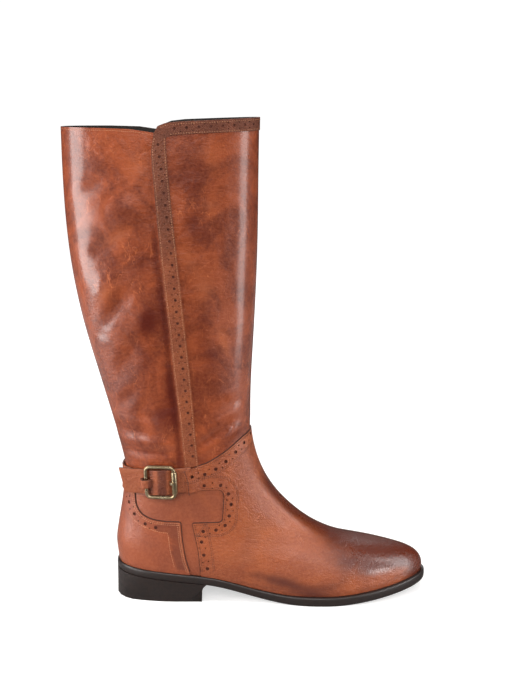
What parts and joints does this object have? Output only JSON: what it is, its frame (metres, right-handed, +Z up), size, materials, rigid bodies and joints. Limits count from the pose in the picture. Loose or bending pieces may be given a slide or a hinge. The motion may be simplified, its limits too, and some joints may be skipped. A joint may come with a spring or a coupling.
{
  "type": "knee-high boot",
  "caption": "Knee-high riding boot in tan leather for the right foot, with brogued seams, a buckled ankle strap, a stacked heel and an inner zip.",
  "frame": {"origin": "middle of the heel's ground face, on the floor", "axes": "+X towards the toe, +Y towards the inner side of the leg, +Z up the shaft"},
  "size_m": [0.3172, 0.0904, 0.4225],
  "materials": {
    "leather": "oiled pull-up leather, satin, mottled tan with darker patches",
    "sole_edge": "waxed near-black sole edge, satin",
    "insole": "plain vegetable-tanned sock, matt",
    "lining": "charcoal textile lining",
    "thread": "tan waxed thread",
    "buckle_metal": "antiqued brass, satin with bright edges",
    "zip_chain": "antiqued brass teeth on brown tape"
  },
  "bodies": {
    "boot": {"outsole": "sole_edge", "heel": "sole_edge", "insole": "insole", "upper": "leather", "shaft": "leather", "strap": "leather", "strap_back": "leather", "buckle_frame": "buckle_metal", "buckle_roller": "buckle_metal", "buckle_prong": "buckle_metal", "zip": "zip_chain", "zip_slider": "buckle_metal"},
    "pull": {"zip_pull": "buckle_metal"}
  },
  "joints": [
    {"name": "pull_swing", "type": "hinge", "parent": "boot", "child": "pull", "pos_m": [-0.0173, 0.04248, 0.3987], "axis": [0.9938, 0.1116, 0], "range_deg": [0, 165]}
  ]
}
